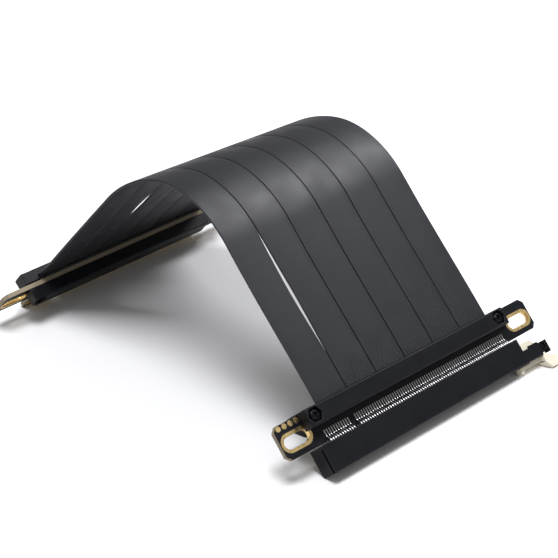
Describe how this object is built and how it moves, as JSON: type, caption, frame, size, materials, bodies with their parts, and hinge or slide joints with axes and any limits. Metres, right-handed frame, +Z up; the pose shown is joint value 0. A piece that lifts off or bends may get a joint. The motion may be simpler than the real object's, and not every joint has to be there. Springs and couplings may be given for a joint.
{
  "type": "gpu riser cable",
  "caption": "Flat ribbon riser cable arched between two boards: one carries a card socket with a latch lever, the other ends in a card edge. Plated slots at the board ends.",
  "frame": {"origin": "on the floor under the middle of the whole cable", "axes": "+X from the plug head to the card-socket head, +Y along the two heads towards the latch end, +Z up"},
  "size_m": [0.1642, 0.1298, 0.0697],
  "materials": {
    "board_mask": "dark grey solder mask, satin",
    "black_plastic": "black moulded plastic, fine texture",
    "ribbon_jacket": "charcoal ribbon jacket with a fine cross weave, satin",
    "gold_plating": "gold plating, satin",
    "tinned_metal": "tinned, satin",
    "black_screws": "blackened steel",
    "ivory_plastic": "ivory moulded plastic",
    "foam": "dark foam strip"
  },
  "bodies": {
    "cable": {"socket_board": "board_mask", "socket_slot_plating_left": "gold_plating", "socket_slot_plating_right": "gold_plating", "socket_outer_cover": "black_plastic", "socket_inner_cover": "black_plastic", "socket_cover_screw_left": "black_screws", "socket_cover_nut_left": "black_screws", "socket_cover_screw_right": "black_screws", "socket_cover_nut_right": "black_screws", "socket_solder_bar": "tinned_metal", "socket_bedding_strip": "foam", "plug_board": "board_mask", "plug_slot_plating_left": "gold_plating", "plug_slot_plating_right": "gold_plating", "plug_outer_cover": "black_plastic", "plug_inner_cover": "black_plastic", "plug_cover_screw_left": "black_screws", "plug_cover_nut_left": "black_screws", "plug_cover_screw_right": "black_screws", "plug_cover_nut_right": "black_screws", "plug_solder_bar": "tinned_metal", "plug_bedding_strip": "foam", "socket_housing": "black_plastic", "socket_contacts_upper": "tinned_metal", "socket_contacts_lower": "tinned_metal", "ribbon_1": "ribbon_jacket", "ribbon_2": "ribbon_jacket", "ribbon_3": "ribbon_jacket", "ribbon_4": "ribbon_jacket", "ribbon_5": "ribbon_jacket", "ribbon_6": "ribbon_jacket"},
    "latch": {"latch_lever": "ivory_plastic"}
  },
  "joints": [
    {"name": "latch_hinge", "type": "hinge", "parent": "cable", "child": "latch", "pos_m": [0.07415, 0.06003, 0.00438], "axis": [0.7071, 0, 0.7071], "range_deg": [0, 18]}
  ]
}
